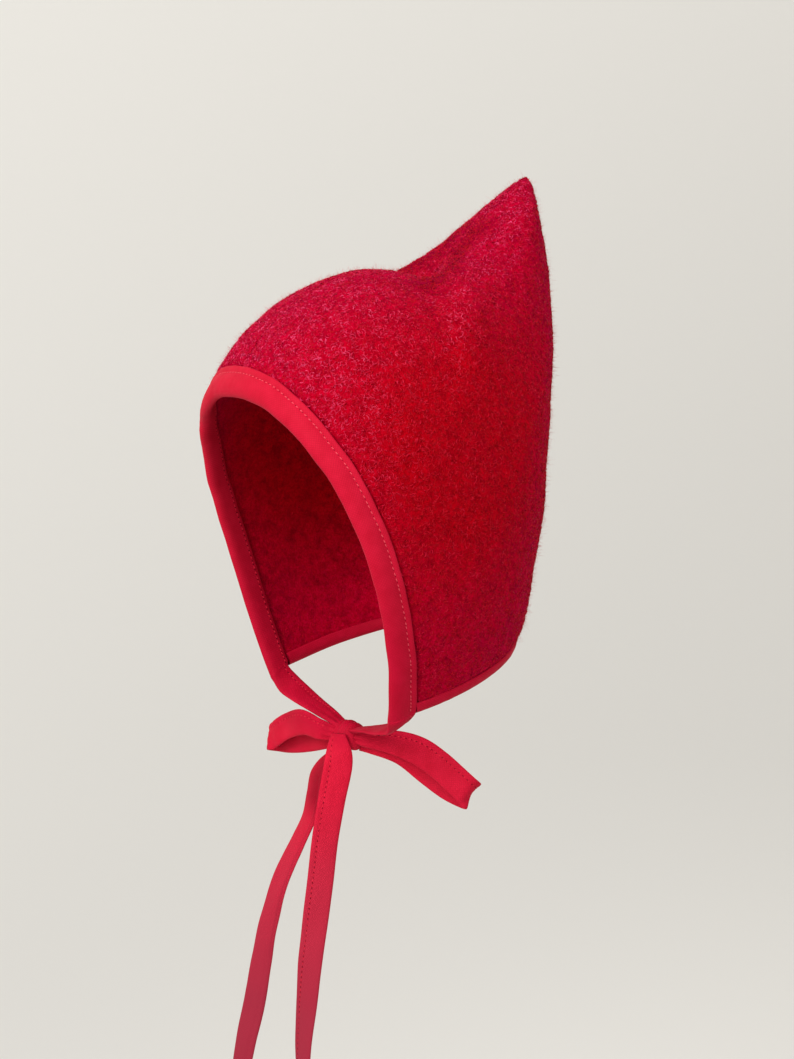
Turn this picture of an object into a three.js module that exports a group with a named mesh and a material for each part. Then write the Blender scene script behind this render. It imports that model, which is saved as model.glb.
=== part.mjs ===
// A child's pixie bonnet: two felted wool side panels that meet in a middle seam and rise to a peak,
// cotton tape folded over the face and neck edges, and the face tape's ends tied in a bow under the chin.
// Millimetres, +Z up. The wearer looks along -Y, and the wearer's left is +X.
// The origin is the inner top of the crown, where the bonnet sits on the head.
import * as THREE from 'three';

// Driving dimensions
const HEAD_CENTRE = new THREE.Vector3(0, 17, -95); // middle of the head, from the origin
const HALF_WIDTH = 74.7; // outside, over the ears
const WOOL = 2.6; // thickness of the felted wool
const CLEARANCE = 0.4; // between pieces that touch
const SEAM_GAP = 0.3; // between the two panels along the middle seam
const FACE_TAPE_WIDTH = 12;
const NECK_TAPE_WIDTH = 5.5;
const TAPE_CLOTH = 0.8; // one folded side of a binding
const TIE_THICKNESS = 1.8; // the tape folded shut
const TIE_LEAD = 2.5; // straight stretch of a tie below the face binding
const EDGE_SETBACK = 1.6; // of the wool's edge from the fold of its binding
const MAX_SLANT = 2.2; // limit of the wall's length along the radius, next to its thickness
const SQUARE_BELOW = 20; // up to this height the wall is square to the surface
const RADIAL_ABOVE = 70; // from this height on, in the peak, it lies along the radius
const PANEL_STEPS = 27; // along each side of a crown panel
const FACE_STEPS = 30; // along half of the face edge
const NECK_STEPS = 15; // along half of the neck edge
const PEAK_EDGE = { from: 0.35, full: 0.6 }; // share of a panel's diagonal where the peak's edge begins to run along it

// Fan of half planes through the line between the ears. The angle runs from straight ahead (0) over the
// crown (90) to the back (180) and under the chin. Reach is from the head's centre to the outside of the wool
// in the middle plane. Roundness is the power of the section's superellipse: 2 is an ellipse, less is a gable.
const SECTIONS = [
  { at: 'brow', angle: 25, reach: 77, roundness: 2.5 },
  { at: 'front_crown', angle: 50, reach: 88, roundness: 2.25 },
  { at: 'crown', angle: 72, reach: 96.5, roundness: 2.2 },
  { at: 'crest', angle: 90, reach: 103, roundness: 2.1 },
  { at: 'dip', angle: 101, reach: 104.5, roundness: 2.2 },
  { at: 'ridge_foot', angle: 108, reach: 110, roundness: 2.45 },
  { at: 'peak_front', angle: 113.5, reach: 130, roundness: 1.85 },
  { at: 'tip', angle: 121, reach: 168, roundness: 1.4 },
  { at: 'peak_back', angle: 138, reach: 118, roundness: 2 },
  { at: 'upper_back', angle: 152, reach: 94.5, roundness: 2.2 },
  { at: 'back', angle: 180, reach: 79, roundness: 2.3 },
  { at: 'lower_back', angle: 205, reach: 79.5, roundness: 2.35 },
  { at: 'nape', angle: 225, reach: 92.5, roundness: 2.3 },
  { at: 'neck', angle: 270, reach: 123, roundness: 2.3 },
  { at: 'jaw', angle: 312, reach: 110, roundness: 2.3 },
  { at: 'cheek', angle: 345, reach: 88, roundness: 2.35 },
];

// Hollow between the two ridges on the front of the peak, in degrees of the fan; it narrows from its foot
// to its top, and its half width is measured sideways from the middle plane.
const HOLLOW = { start: 97, full: 106.5, keep: 110.5, end: 116.5, footWidth: 6.8, topWidth: 1.2, depth: 8 };

// Edge of the face opening, as a curve seen from the side: y = front + lean z + bow z z.
const FACE_EDGE = { front: -42.9, lean: -0.37, bow: -0.00113 };

// Neck edge seen from the side: z = height + rise y + bow y y.
const NECK_EDGE = { height: -82, rise: 0.275, bow: 0.0005 };

// Routes of the tape, from the head's centre. Turn and tilt give the direction across the tape: turn is its
// heading from +X about +Z, and tilt its climb, in degrees. The tape is gathered narrower at the knot.
const TIE_ROUTE = [
  { x: 50, y: -11.5, z: -92, turn: 92, tilt: 4, width: 12 },
  { x: 40, y: -10.5, z: -94.4, turn: 94, tilt: 2, width: 11 },
  { x: 28, y: -9, z: -97.2, turn: 92, tilt: 0, width: 10 },
  { x: 16, y: -8, z: -99.6, turn: 90, tilt: 0, width: 8.5 },
  { x: 8.2, y: -7.5, z: -101, turn: 90, tilt: 0, width: 7 },
];
const LEFT_LOOP_ROUTE = [
  { x: 9, y: -5.6, z: -107.3, turn: 60, tilt: 85, width: 7 },
  { x: 17, y: 3, z: -107, turn: 60, tilt: 70, width: 11 },
  { x: 26, y: 9.8, z: -110, turn: 60, tilt: 60, width: 12 },
  { x: 35, y: 16.2, z: -115.8, turn: 60, tilt: 60, width: 12 },
  { x: 43, y: 22, z: -122, turn: 60, tilt: 60, width: 12 },
  { x: 47.6, y: 26.6, z: -127, turn: 60, tilt: 60, width: 12 },
  { x: 47, y: 29.6, z: -129.6, turn: 60, tilt: 60, width: 12 },
  { x: 43.5, y: 29, z: -128.8, turn: 60, tilt: 60, width: 12 },
  { x: 36, y: 23.6, z: -124.4, turn: 60, tilt: 60, width: 12 },
  { x: 27, y: 17.4, z: -118.2, turn: 60, tilt: 60, width: 12 },
  { x: 17.5, y: 9.6, z: -112.6, turn: 60, tilt: 70, width: 11 },
  { x: 9, y: -2.4, z: -108.4, turn: 60, tilt: 85, width: 7 },
];
const RIGHT_LOOP_ROUTE = [
  { x: -9.3, y: -9.6, z: -106.8, turn: 0, tilt: 85, width: 7 },
  { x: -13.5, y: -15.2, z: -104.6, turn: 0, tilt: 85, width: 10 },
  { x: -24, y: -17.8, z: -103.2, turn: 0, tilt: 85, width: 12 },
  { x: -38, y: -18.8, z: -107.5, turn: 0, tilt: 80, width: 12 },
  { x: -49, y: -19.6, z: -113.5, turn: 0, tilt: 80, width: 12 },
  { x: -54.5, y: -18.6, z: -116.8, turn: 0, tilt: 80, width: 12 },
  { x: -53.5, y: -15.4, z: -117.6, turn: 0, tilt: 80, width: 12 },
  { x: -45, y: -13.2, z: -116.6, turn: 0, tilt: 80, width: 12 },
  { x: -32, y: -10.8, z: -113.5, turn: 0, tilt: 80, width: 12 },
  { x: -18, y: -8.6, z: -110.6, turn: 0, tilt: 85, width: 9.5 },
  { x: -8.5, y: -6.2, z: -108.4, turn: 0, tilt: 85, width: 7 },
];
const LEFT_TAIL_ROUTE = [
  { x: 2.5, y: -14.4, z: -103.5, turn: 12, tilt: 0, width: 9 },
  { x: 3, y: -15, z: -109, turn: 25, tilt: 0, width: 11 },
  { x: 4, y: -16, z: -116, turn: 48, tilt: 0, width: 12 },
  { x: 4, y: -19.6, z: -133, turn: 60, tilt: 0, width: 12 },
  { x: 3, y: -21.8, z: -152, turn: 60, tilt: 0, width: 12 },
  { x: 3, y: -24.2, z: -170, turn: 57, tilt: 0, width: 12 },
  { x: 2, y: -26.4, z: -189, turn: 48, tilt: 0, width: 12 },
  { x: 2, y: -29, z: -207, turn: 36, tilt: 0, width: 12 },
  { x: 1, y: -30.4, z: -226, turn: 22, tilt: 0, width: 12 },
  { x: 0, y: -31.8, z: -245, turn: 8, tilt: 0, width: 12 },
  { x: 0, y: -32.3, z: -263, turn: 0, tilt: 0, width: 12 },
  { x: 0, y: -32.4, z: -279, turn: -4, tilt: 0, width: 12 },
];
const RIGHT_TAIL_ROUTE = [
  { x: -2.5, y: -9, z: -112.8, turn: -25, tilt: 0, width: 8 },
  { x: -5, y: -13.5, z: -117, turn: -30, tilt: 0, width: 10 },
  { x: -8, y: -18.7, z: -124, turn: -32, tilt: 0, width: 12 },
  { x: -10.5, y: -22, z: -134, turn: -28, tilt: 0, width: 12 },
  { x: -13, y: -24.5, z: -144, turn: -18, tilt: 0, width: 12 },
  { x: -16, y: -26.6, z: -156, turn: -5, tilt: 0, width: 12 },
  { x: -22, y: -31.4, z: -175.5, turn: 7, tilt: 0, width: 12 },
  { x: -27, y: -35, z: -195, turn: 12, tilt: 0, width: 12 },
  { x: -31, y: -37, z: -215, turn: 20, tilt: 0, width: 12 },
  { x: -35, y: -38.8, z: -236, turn: 27, tilt: 0, width: 12 },
  { x: -39, y: -41.6, z: -256, turn: 21, tilt: 0, width: 12 },
  { x: -42, y: -43.6, z: -275, turn: 12, tilt: 0, width: 12 },
  { x: -44, y: -44.6, z: -292, turn: 6, tilt: 0, width: 12 },
];
const LOOP_STEPS = 36;
const TAIL_STEPS = 26;
const TIE_STEPS = 12;

// Wrap of tape in the middle of the bow
const KNOT = { centre: new THREE.Vector3(0, -7, -105.5), halfLength: 7.8, depth: 5.6, height: 6.4, sides: 16 };

// Finishes
const WOOL_FINISH = { color: 0xb3081f, roughness: 0.95, metalness: 0 };
const TAPE_FINISH = { color: 0xcb1f3c, roughness: 0.7, metalness: 0 };

// Smooth curve through the rows of a table, with free ends; neighbours set the slope at each inner row.
function cubicThrough(rows, key, column) {
  const x = rows.map((row) => row[key]);
  const y = rows.map((row) => row[column]);
  const last = x.length - 1;
  const chord = (i) => (y[i + 1] - y[i]) / (x[i + 1] - x[i]);
  const slope = x.map((_, i) => {
    if (i === 0 || i === last) return 0;
    const before = x[i] - x[i - 1];
    const after = x[i + 1] - x[i];
    return (chord(i - 1) * after + chord(i) * before) / (before + after);
  });
  slope[0] = 1.5 * chord(0) - 0.5 * slope[1];
  slope[last] = 1.5 * chord(last - 1) - 0.5 * slope[last - 1];
  return (at) => {
    let i = 0;
    while (i < last - 1 && at > x[i + 1]) i += 1;
    const span = x[i + 1] - x[i];
    const t = (at - x[i]) / span;
    const leaving = y[i] * (1 + 2 * t) * (1 - t) ** 2 + slope[i] * span * t * (1 - t) ** 2;
    const arriving = y[i + 1] * t * t * (3 - 2 * t) + slope[i + 1] * span * t * t * (t - 1);
    return leaving + arriving;
  };
}

// The fan starts and ends at the tip, so the surface has a corner there and is smooth everywhere else.
const tipIndex = SECTIONS.findIndex((row) => row.at === 'tip');
const TIP_ANGLE = SECTIONS[tipIndex].angle;
const FAN = [
  ...SECTIONS.slice(tipIndex),
  ...SECTIONS.slice(0, tipIndex + 1).map((row) => ({ ...row, angle: row.angle + 360 })),
];
const reachAt = cubicThrough(FAN, 'angle', 'reach');
const roundnessAt = cubicThrough(FAN, 'angle', 'roundness');

// Direction in the middle plane at an angle of the fan
function fanDirection(angle) {
  const turn = THREE.MathUtils.degToRad(angle);
  return new THREE.Vector3(0, -Math.cos(turn), Math.sin(turn));
}

// Angle of the fan for a direction, counted on from the tip
function fanAngle(direction) {
  const angle = THREE.MathUtils.radToDeg(Math.atan2(direction.z, -direction.y));
  const turned = THREE.MathUtils.euclideanModulo(angle, 360);
  return turned < TIP_ANGLE ? turned + 360 : turned;
}

// Depth of the hollow on the front of the peak
function hollowDepth(angle, sideways) {
  const { smoothstep, clamp, mapLinear, radToDeg } = THREE.MathUtils;
  const amount = smoothstep(angle, HOLLOW.start, HOLLOW.full) * (1 - smoothstep(angle, HOLLOW.keep, HOLLOW.end));
  const along = clamp(mapLinear(angle, HOLLOW.full, HOLLOW.end, 0, 1), 0, 1);
  const width = THREE.MathUtils.lerp(HOLLOW.footWidth, HOLLOW.topWidth, along);
  const side = radToDeg(Math.asin(Math.min(1, Math.abs(sideways))));
  return HOLLOW.depth * amount * Math.exp(-((side / width) ** 2));
}

// Distance from the head's centre to the outside of the wool
function outerRadius(direction) {
  const angle = fanAngle(direction);
  const power = roundnessAt(angle);
  const across = Math.abs(direction.x) / HALF_WIDTH;
  const along = Math.hypot(direction.y, direction.z) / reachAt(angle);
  return (across ** power + along ** power) ** (-1 / power) - hollowDepth(angle - 360, direction.x);
}

// Direction square to the outside of the wool
function surfaceNormal(direction) {
  const step = 0.01;
  const aside = Math.abs(direction.x) < 0.9 ? new THREE.Vector3(1, 0, 0) : new THREE.Vector3(0, 1, 0);
  const first = aside.projectOnPlane(direction).normalize();
  const second = direction.clone().cross(first);
  const [alongFirst, alongSecond] = [first, second].map((way) => {
    const [ahead, behind] = [step, -step].map((move) => {
      const near = direction.clone().addScaledVector(way, move).normalize();
      return near.multiplyScalar(outerRadius(near));
    });
    return ahead.sub(behind);
  });
  return alongFirst.cross(alongSecond).normalize();
}

// Point a given depth below the outside of the wool, in the direction of any point
function shellPoint(towards, depth) {
  const direction = towards.clone().normalize();
  const point = direction.clone().multiplyScalar(outerRadius(direction));
  if (depth === 0) return point;
  const normal = surfaceNormal(direction);
  const radial = THREE.MathUtils.smoothstep(point.z, SQUARE_BELOW, RADIAL_ABOVE);
  const way = normal.clone().lerp(direction, radial).normalize();
  return point.addScaledVector(way, -depth * Math.min(MAX_SLANT, 1 / way.dot(normal)));
}

// Last value for which a test holds, between one that passes and one that fails
function lastInside(test, low, high) {
  let inside = low;
  let outside = high;
  for (let i = 0; i < 40; i += 1) {
    const middle = (inside + outside) / 2;
    if (test(middle)) inside = middle;
    else outside = middle;
  }
  return inside;
}

const isInside = (point) => point.length() < outerRadius(point.clone().normalize());
const faceY = (z) => FACE_EDGE.front + FACE_EDGE.lean * z + FACE_EDGE.bow * z * z;
const neckZ = (y) => NECK_EDGE.height + NECK_EDGE.rise * y + NECK_EDGE.bow * y * y;

// The outside of the wool at a place seen from the side
function besideAt(y, z) {
  const x = lastInside((side) => isInside(new THREE.Vector3(side, y, z)), 0, 2 * HALF_WIDTH);
  return new THREE.Vector3(x, y, z);
}

// Left half of the face edge and of the neck edge, each from the jaw to the middle plane
function edgeLines(setback) {
  let jawZ = NECK_EDGE.height;
  for (let i = 0; i < 20; i += 1) jawZ = neckZ(faceY(jawZ) + setback) + setback;
  const jawY = faceY(jawZ) + setback;
  const browZ = lastInside((z) => isInside(new THREE.Vector3(0, faceY(z) + setback, z)), 0, 2 * HALF_WIDTH);
  const napeY = lastInside((y) => isInside(new THREE.Vector3(0, y, neckZ(y) + setback)), 0, 2 * HALF_WIDTH);
  const face = [];
  const neck = [];
  const samples = 80;
  for (let i = 0; i <= samples; i += 1) {
    const share = Math.sin((Math.PI / 2) * (i / samples));
    const z = THREE.MathUtils.lerp(jawZ, browZ, share);
    face.push(besideAt(faceY(z) + setback, z));
    const y = THREE.MathUtils.lerp(jawY, napeY, share);
    neck.push(besideAt(y, neckZ(y) + setback));
  }
  face[samples].x = 0;
  neck[samples].x = 0;
  return { face, neck };
}

// Middle seam from a point on it to the tip
function seamLine(start) {
  const angle = THREE.MathUtils.radToDeg(Math.atan2(start.z, -start.y));
  const from = angle < -90 ? angle + 360 : angle;
  const samples = 80;
  return Array.from({ length: samples + 1 }, (_, i) => {
    const direction = fanDirection(THREE.MathUtils.lerp(from, TIP_ANGLE, i / samples));
    return direction.multiplyScalar(outerRadius(direction));
  });
}

const evenShares = (steps) => Array.from({ length: steps + 1 }, (_, i) => i / steps);

// Points spread along a line at shares of its length
function pointsAlong(line, shares) {
  const curve = new THREE.CatmullRomCurve3(line);
  return shares.map((share) => curve.getPointAt(share));
}

// Closed body from vertices and triangles, turned so that its faces point out
function solid(points, triangles) {
  let volume = 0;
  for (const [a, b, c] of triangles) {
    volume += points[a].dot(points[b].clone().cross(points[c]));
  }
  const index = triangles.flatMap(([a, b, c]) => (volume < 0 ? [a, c, b] : [a, b, c]));
  const geometry = new THREE.BufferGeometry().setFromPoints(points);
  geometry.setIndex(index);
  geometry.computeVertexNormals();
  return geometry;
}

// Body through a row of closed rings, each with the same number of points; section is the flat shape of a ring
function loft(rings, section) {
  const sides = section.length;
  const triangles = [];
  for (let ring = 0; ring + 1 < rings.length; ring += 1) {
    for (let side = 0; side < sides; side += 1) {
      const next = (side + 1) % sides;
      const [a, b] = [ring * sides + side, ring * sides + next];
      triangles.push([a, b, b + sides], [a, b + sides, a + sides]);
    }
  }
  const cap = THREE.ShapeUtils.triangulateShape(section, []);
  const facing = THREE.ShapeUtils.isClockWise(section) ? 1 : -1;
  const end = (rings.length - 1) * sides;
  for (const [a, b, c] of cap) {
    const near = facing > 0 ? [a, b, c] : [a, c, b];
    triangles.push(near, [...near].reverse().map((i) => i + end));
  }
  return solid(rings.flat(), triangles);
}

// Patch between the four edges of a panel: up runs from the neck edge to the seam on top, and back from the
// face edge to the seam behind, and the tip is where both are 1.
function panelPatch() {
  const { face, neck } = edgeLines(EDGE_SETBACK);
  const lines = [face, neck, seamLine(face.at(-1)), seamLine(neck.at(-1))];
  const [faceEdge, neckEdge, topSeam, backSeam] = lines.map((line) => new THREE.CatmullRomCurve3(line));
  const [jaw, brow, nape, tip] = [face[0], face.at(-1), neck.at(-1), lines[2].at(-1)];
  return (upShare, backShare) => {
    const [up, back] = [upShare, backShare].map((share) => THREE.MathUtils.clamp(share, 0, 1));
    return new THREE.Vector3()
      .addScaledVector(faceEdge.getPointAt(up), 1 - back)
      .addScaledVector(backSeam.getPointAt(up), back)
      .addScaledVector(neckEdge.getPointAt(back), 1 - up)
      .addScaledVector(topSeam.getPointAt(back), up)
      .addScaledVector(jaw, -(1 - back) * (1 - up))
      .addScaledVector(brow, -(1 - back) * up)
      .addScaledVector(nape, -back * (1 - up))
      .addScaledVector(tip, -back * up);
  };
}

// Shift towards the brow that puts a point of the patch's diagonal on the edge of the peak, as a share of its room
function edgeShift(patch, share) {
  const room = Math.min(share, 1 - share);
  const isBehind = (part) => fanAngle(patch(share + part * room, share - part * room)) < TIP_ANGLE + 180;
  return lastInside(isBehind, -1, 1);
}

// Directions of a panel's grid points, with the grid's diagonal on the edge of the peak
function panelDirections() {
  const patch = panelPatch();
  const shares = evenShares(PANEL_STEPS);
  return shares.flatMap((up) => shares.map((back) => {
    const middle = (up + back) / 2;
    const room = Math.min(1 - up, 1 - back);
    const amount = THREE.MathUtils.smoothstep(middle, PEAK_EDGE.from, PEAK_EDGE.full);
    if (amount === 0 || room === 0) return patch(up, back);
    const shift = amount * room * edgeShift(patch, middle);
    return patch(up + shift, back - shift);
  }));
}

// One side panel of the crown, between the face edge, the neck edge and the middle seam
function panelGeometry(side) {
  const skins = [0, WOOL].map((depth) => panelDirections().map((direction) => {
    const placed = shellPoint(direction, depth);
    placed.x = side * Math.max(placed.x, SEAM_GAP / 2);
    return placed;
  }));
  return slab(skins, PANEL_STEPS + 1);
}

// Closed body between two square grids of points
function slab(skins, count) {
  const size = count * count;
  const triangles = [];
  const quad = (a, b, c, d) => triangles.push([a, b, c], [a, c, d]);
  for (let row = 0; row + 1 < count; row += 1) {
    for (let column = 0; column + 1 < count; column += 1) {
      const a = row * count + column;
      quad(a, a + 1, a + count + 1, a + count);
      quad(size + a, size + a + count, size + a + count + 1, size + a + 1);
    }
  }
  const last = count - 1;
  for (let i = 0; i < last; i += 1) {
    const borders = [
      [i + 1, i],
      [last * count + i, last * count + i + 1],
      [i * count, (i + 1) * count],
      [(i + 1) * count + last, i * count + last],
    ];
    for (const [a, b] of borders) quad(a, b, size + b, size + a);
  }
  return solid(skins.flat(), triangles);
}

// Rim of an opening, from the left end round to the right, with the direction from the rim into the wool
function rimStations(line, shares, towards) {
  const left = pointsAlong(line, shares);
  const mirrored = left.slice(0, -1).reverse().map((point) => new THREE.Vector3(-point.x, point.y, point.z));
  const points = [...left, ...mirrored];
  return points.map((point, i) => {
    const before = points[Math.max(0, i - 1)];
    const after = points[Math.min(points.length - 1, i + 1)];
    const along = after.clone().sub(before).normalize();
    const inward = along.clone().cross(point).normalize();
    if (inward.dot(towards) < 0) inward.negate();
    return { point, along, inward };
  });
}

// Tape folded over an edge of the wool: outside leg, fold and inside leg
function bindingSection(width) {
  const outside = -(CLEARANCE + TAPE_CLOTH);
  const inside = WOOL + CLEARANCE + TAPE_CLOTH;
  const [outerFace, innerFace] = [-CLEARANCE, WOOL + CLEARANCE];
  const throat = TAPE_CLOTH + 0.2;
  const shoulder = 1.2;
  const bend = 0.4;
  return [
    [width, outside], [width / 2, outside], [shoulder, outside], [0, bend],
    [0, WOOL - bend], [shoulder, inside], [width / 2, inside], [width, inside],
    [width, innerFace], [width / 2, innerFace], [throat, innerFace],
    [throat, outerFace], [width / 2, outerFace], [width, outerFace],
  ].map(([across, depth]) => new THREE.Vector2(across, depth));
}

function bindingRing({ point, inward }, section) {
  return section.map(({ x: across, y: depth }) => shellPoint(point.clone().addScaledVector(inward, across), depth));
}

function bindingGeometry(stations, width) {
  const section = bindingSection(width);
  return loft(stations.map((station) => bindingRing(station, section)), section);
}

// Flat tape with eased edges, swept along a route
function tapeSection(width, thickness) {
  const [a, b] = [width / 2, thickness / 2];
  const ease = 0.6;
  return [
    [a, -b / 2], [a, b / 2], [a - ease, b], [-a + ease, b],
    [-a, b / 2], [-a, -b / 2], [-a + ease, -b], [a - ease, -b],
  ].map(([across, out]) => new THREE.Vector2(across, out));
}

function tapeGeometry(route, steps, side = 1) {
  const curve = new THREE.CatmullRomCurve3(route.map(({ x, y, z }) => new THREE.Vector3(x, y, z)));
  const numbered = route.map((row, i) => ({ ...row, share: i / (route.length - 1) }));
  const [turnAt, tiltAt, widthAt] = ['turn', 'tilt', 'width'].map((column) => cubicThrough(numbered, 'share', column));
  const rings = Array.from({ length: steps + 1 }, (_, i) => {
    const share = curve.getUtoTmapping(i / steps);
    const point = curve.getPoint(share);
    const along = curve.getTangent(share);
    const turn = THREE.MathUtils.degToRad(turnAt(share));
    const tilt = THREE.MathUtils.degToRad(tiltAt(share));
    const across = new THREE.Vector3(Math.cos(tilt) * Math.cos(turn), Math.cos(tilt) * Math.sin(turn), Math.sin(tilt));
    across.projectOnPlane(along).normalize();
    const out = along.clone().cross(across);
    return tapeSection(widthAt(share), TIE_THICKNESS).map(({ x, y }) => {
      const placed = point.clone().addScaledVector(across, x).addScaledVector(out, y);
      placed.x *= side;
      return placed;
    });
  });
  return loft(rings, tapeSection(FACE_TAPE_WIDTH, TIE_THICKNESS));
}

// The wrap is a barrel lying along X.
function knotGeometry() {
  const profile = [
    { along: -1, size: 0 }, { along: -1, size: 0.72 }, { along: -0.8, size: 0.92 }, { along: 0, size: 1 },
    { along: 0.8, size: 0.92 }, { along: 1, size: 0.72 }, { along: 1, size: 0 },
  ].map(({ along, size }) => new THREE.Vector2(size, along));
  const geometry = new THREE.LatheGeometry(profile, KNOT.sides);
  geometry.rotateZ(Math.PI / 2);
  geometry.scale(KNOT.halfLength, KNOT.height, KNOT.depth);
  geometry.rotateX(Math.PI / 2);
  geometry.translate(...KNOT.centre.toArray());
  return geometry;
}

// The tie goes straight on from the end of the face binding, in the middle of its width and just clear of it.
function tieRoute(jaw) {
  const down = jaw.along.clone().negate();
  const middle = shellPoint(jaw.point.clone().addScaledVector(jaw.inward, FACE_TAPE_WIDTH / 2), WOOL / 2);
  const end = bindingRing(jaw, bindingSection(FACE_TAPE_WIDTH));
  const drop = Math.max(...end.map((point) => point.sub(middle).dot(down)));
  const turn = THREE.MathUtils.radToDeg(Math.atan2(jaw.inward.y, jaw.inward.x));
  const tilt = THREE.MathUtils.radToDeg(Math.asin(jaw.inward.z));
  const lead = [CLEARANCE, TIE_LEAD].map((below) => {
    const { x, y, z } = middle.clone().addScaledVector(down, drop + below);
    return { x, y, z, turn, tilt, width: FACE_TAPE_WIDTH };
  });
  return [...lead, ...TIE_ROUTE];
}

const bonnet = new THREE.Group();
bonnet.name = 'pixie_bonnet';
bonnet.position.copy(HEAD_CENTRE);

function addPiece(name, geometry, finish) {
  const piece = new THREE.Mesh(geometry, new THREE.MeshStandardMaterial(finish));
  piece.name = name;
  bonnet.add(piece);
}

const rims = edgeLines(0);
const faceRim = rimStations(rims.face, evenShares(FACE_STEPS), new THREE.Vector3(0, 1, 0));

// The neck tape starts where the face tape's inner edge crosses it.
const neckLength = new THREE.CatmullRomCurve3(rims.neck).getLength();
const neckStart = (FACE_TAPE_WIDTH + 2 * CLEARANCE) / neckLength;
const neckShares = evenShares(NECK_STEPS).map((share) => THREE.MathUtils.lerp(neckStart, 1, share));
const neckRim = rimStations(rims.neck, neckShares, new THREE.Vector3(0, 0, 1));

addPiece('crown_left', panelGeometry(1), WOOL_FINISH);
addPiece('crown_right', panelGeometry(-1), WOOL_FINISH);
addPiece('face_binding', bindingGeometry(faceRim, FACE_TAPE_WIDTH), TAPE_FINISH);
addPiece('neck_binding', bindingGeometry(neckRim, NECK_TAPE_WIDTH), TAPE_FINISH);
addPiece('tie_left', tapeGeometry(tieRoute(faceRim[0]), TIE_STEPS), TAPE_FINISH);
addPiece('tie_right', tapeGeometry(tieRoute(faceRim[0]), TIE_STEPS, -1), TAPE_FINISH);
addPiece('bow_knot', knotGeometry(), TAPE_FINISH);
addPiece('bow_loop_left', tapeGeometry(LEFT_LOOP_ROUTE, LOOP_STEPS), TAPE_FINISH);
addPiece('bow_loop_right', tapeGeometry(RIGHT_LOOP_ROUTE, LOOP_STEPS), TAPE_FINISH);
addPiece('tie_tail_left', tapeGeometry(LEFT_TAIL_ROUTE, TAIL_STEPS), TAPE_FINISH);
addPiece('tie_tail_right', tapeGeometry(RIGHT_TAIL_ROUTE, TAIL_STEPS), TAPE_FINISH);

export default bonnet;
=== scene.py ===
"""Pixie bonnet of felted red wool, bound with cotton tape and tied in a bow, before a pale sweep.

Shapes are worked out in millimetres from the middle of the head and placed in metres in the
part's frame.
"""
import math

import bpy
import numpy as np
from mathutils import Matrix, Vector, noise
from mathutils.kdtree import KDTree


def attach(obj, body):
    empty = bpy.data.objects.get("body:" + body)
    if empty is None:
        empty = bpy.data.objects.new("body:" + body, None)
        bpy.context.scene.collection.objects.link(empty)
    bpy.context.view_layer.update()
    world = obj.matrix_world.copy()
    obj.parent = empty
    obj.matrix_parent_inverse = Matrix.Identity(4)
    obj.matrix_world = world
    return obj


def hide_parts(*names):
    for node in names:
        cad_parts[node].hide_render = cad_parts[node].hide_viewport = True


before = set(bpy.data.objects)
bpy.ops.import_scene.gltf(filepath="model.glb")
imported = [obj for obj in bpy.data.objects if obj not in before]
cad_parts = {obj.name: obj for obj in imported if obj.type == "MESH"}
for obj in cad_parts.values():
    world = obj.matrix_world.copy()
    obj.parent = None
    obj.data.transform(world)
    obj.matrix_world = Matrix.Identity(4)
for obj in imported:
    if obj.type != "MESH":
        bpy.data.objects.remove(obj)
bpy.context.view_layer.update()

# Sizes of the bonnet, in millimetres and degrees
HEAD_CENTRE = np.array([0.0, 17.0, -95.0])
HALF_WIDTH = 74.7
WOOL = 2.6
FACE_TAPE_WIDTH = 12.0
NECK_TAPE_WIDTH = 5.5
EDGE_SETBACK = 1.6
MAX_SLANT = 2.2
SQUARE_BELOW = 20.0
RADIAL_ABOVE = 70.0
METRES = 0.001

# Fan of half planes through the line between the ears, from straight ahead over the crown to the back
SECTIONS = np.array([
    ("brow", 25, 77, 2.5),
    ("front_crown", 50, 88, 2.25),
    ("crown", 72, 96.5, 2.2),
    ("crest", 90, 103, 2.1),
    ("dip", 101, 104.5, 2.2),
    ("ridge_foot", 108, 110.6, 2.45),
    ("peak_front", 113.5, 128.8, 1.85),
    ("peak_middle", 116.8, 142.6, 1.65),
    ("tip", 120.6, 170.5, 1.4),
    ("peak_back", 138, 117.4, 2),
    ("upper_back", 152, 93.4, 2.2),
    ("back", 180, 78.2, 2.3),
    ("lower_back", 205, 78.7, 2.35),
    ("nape", 225, 91.3, 2.3),
    ("neck", 270, 123, 2.3),
    ("jaw", 312, 110, 2.3),
    ("cheek", 345, 88, 2.35),
], dtype=[("at", "U12"), ("angle", float), ("reach", float), ("roundness", float)])

# Hollow between the two ridges on the front of the peak
HOLLOW = dict(start=97, full=106.5, keep=108.5, end=115, foot_width=7.4, top_width=3, depth=9.8)

# Short crease in the left side of the peak
CREASE = dict(line=np.array([(32.3, 56.8, 106.6), (44.3, 51.2, 88.1)]), width=2.6, depth=0.9)

# Painted shade along each side of the hollow: a line and its width
HOLLOW_PAINTED_SHADE = dict(line=np.array([(27, 16, 98.5), (19, 32, 102), (9, 46, 111), (6, 57, 121)]), width=8.0)

# Face edge, y = front + lean z + bow z z, and neck edge, z = height + rise y + bow y y
FACE_EDGE = dict(front=-42.9, lean=-0.37, bow=-0.00113)
NECK_EDGE = dict(height=-82, rise=0.275, bow=0.0005)

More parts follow.
